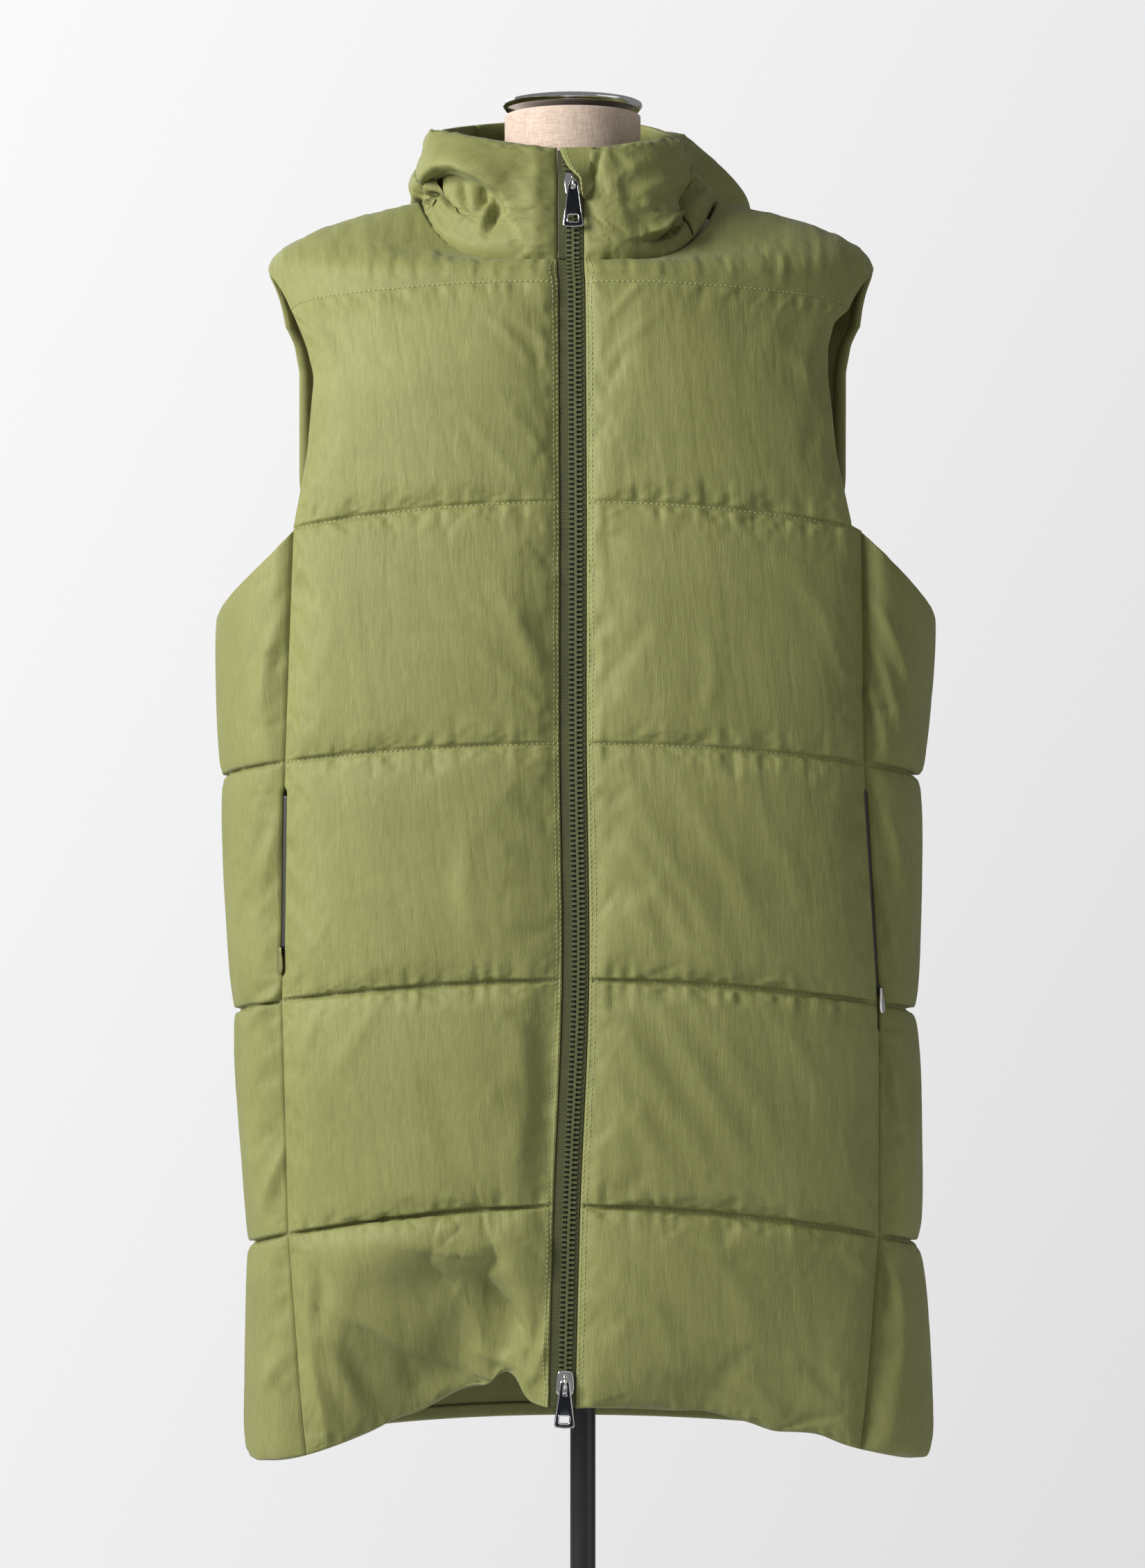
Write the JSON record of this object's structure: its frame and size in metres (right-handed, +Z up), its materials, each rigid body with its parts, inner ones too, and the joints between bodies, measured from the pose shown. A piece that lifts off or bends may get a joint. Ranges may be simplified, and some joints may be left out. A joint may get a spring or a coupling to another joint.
{
  "type": "hooded puffer vest on a limbless dress form",
  "caption": "Long sleeveless hooded puffer vest with a two-way front zip, standing on a limbless linen dress form with a pole and round base.",
  "frame": {"origin": "on the floor, at the centre of the stand's round base, under the pole", "axes": "+Z up along the pole; the vest's front and its zip face -Y; the wearer's right armhole is at -X and the left one at +X"},
  "size_m": [0.599, 0.4091, 1.5128],
  "materials": {
    "olive_nylon": "matt crinkled nylon",
    "green_teeth": "moulded satin plastic",
    "linen": "fine plain weave",
    "chrome": "polished",
    "gunmetal": "polished dark plating",
    "black_paint": "satin powder coat"
  },
  "bodies": {
    "vest_and_form": {"front_left": "olive_nylon", "front_right": "olive_nylon", "side_left": "olive_nylon", "side_right": "olive_nylon", "back": "olive_nylon", "hood_left": "olive_nylon", "hood_right": "olive_nylon", "hood_centre": "olive_nylon", "armhole_facing_left": "olive_nylon", "armhole_facing_right": "olive_nylon", "hem_facing": "olive_nylon", "zip_guard": "olive_nylon", "zip_tape_left": "olive_nylon", "zip_tape_right": "olive_nylon", "zip_chain": "green_teeth", "pocket_zip_left": "green_teeth", "pocket_zip_right": "green_teeth", "form_torso": "linen", "form_neck": "linen", "form_neck_cap": "chrome", "zip_slider_top": "chrome", "zip_slider_bottom": "chrome", "pocket_slider_left": "chrome", "pocket_slider_right": "chrome", "stand_pole": "black_paint", "stand_base": "black_paint"},
    "zip_pull_top_tab": {"zip_pull_top": "gunmetal"},
    "zip_pull_bottom_tab": {"zip_pull_bottom": "gunmetal"},
    "pocket_pull_left_tab": {"pocket_pull_left": "chrome"},
    "pocket_pull_right_tab": {"pocket_pull_right": "chrome"}
  },
  "joints": [
    {"name": "zip_pull_top_swing", "type": "hinge", "parent": "vest_and_form", "child": "zip_pull_top_tab", "pos_m": [-0.0081, -0.10061, 1.419], "axis": [-1, 0, 0], "range_deg": [0, 100]},
    {"name": "zip_pull_bottom_swing", "type": "hinge", "parent": "vest_and_form", "child": "zip_pull_bottom_tab", "pos_m": [-0.01453, -0.13675, 0.45783], "axis": [-0.9997, -0.0006, 0.0227], "range_deg": [0, 150]},
    {"name": "pocket_pull_left_swing", "type": "hinge", "parent": "vest_and_form", "child": "pocket_pull_left_tab", "pos_m": [-0.24412, -0.09552, 0.80259], "axis": [-0.822, 0.5679, 0.043], "range_deg": [0, 150]},
    {"name": "pocket_pull_right_swing", "type": "hinge", "parent": "vest_and_form", "child": "pocket_pull_right_tab", "pos_m": [0.24094, -0.08317, 0.76953], "axis": [-0.7114, -0.6955, -0.1005], "range_deg": [0, 150]}
  ]
}
